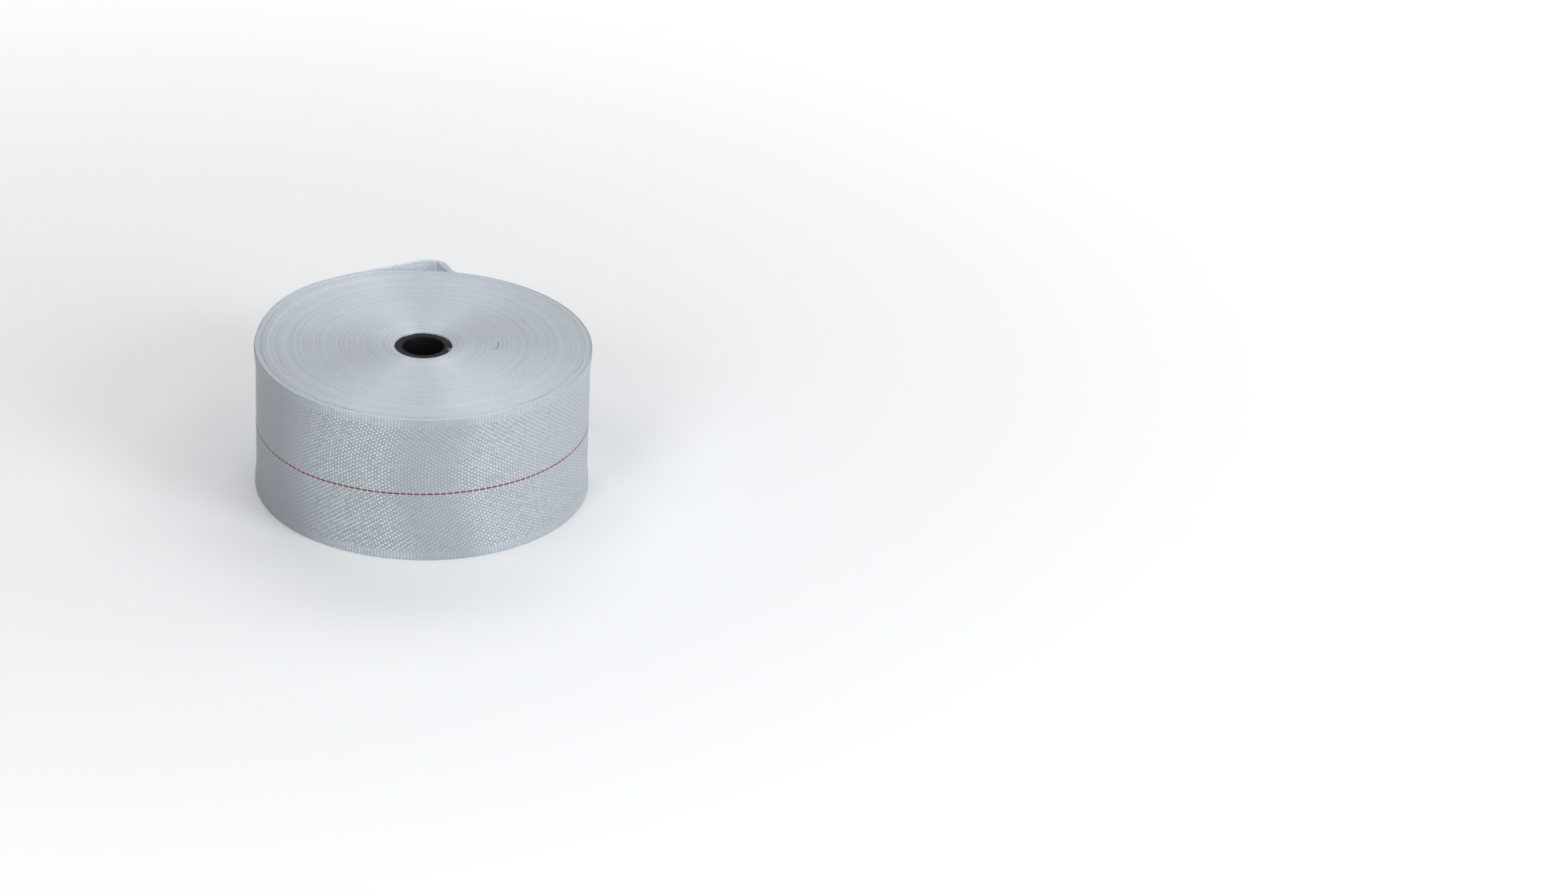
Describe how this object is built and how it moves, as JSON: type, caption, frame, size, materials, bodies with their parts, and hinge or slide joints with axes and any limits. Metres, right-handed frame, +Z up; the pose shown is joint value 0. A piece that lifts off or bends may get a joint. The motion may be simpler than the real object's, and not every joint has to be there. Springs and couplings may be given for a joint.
{
  "type": "roll of fiberglass tape",
  "caption": "Roll of woven glass-fibre tape lying flat on one face, wound on a hollow plastic core, with a red tracer yarn and a folded loose end.",
  "frame": {"origin": "on the surface the roll lies on, in the middle of its footprint with the loose end; the core's axis stands at Y = -9 mm", "axes": "+Z up along the core, -Y the front of the roll, +Y the back where the loose end lifts off, +X to the right seen from the front"},
  "size_m": [0.2184, 0.2363, 0.1],
  "materials": {
    "woven_glass": "plain-woven glass yarn, cool white, glinting where the yarns cross",
    "core_plastic": "black moulded plastic, worn grey at its sawn ends",
    "tracer_yarn": "dark red yarn woven in along the tape"
  },
  "bodies": {
    "root": {"tape_roll": "woven_glass", "loose_end": "woven_glass", "core_tube": "core_plastic"}
  },
  "joints": []
}
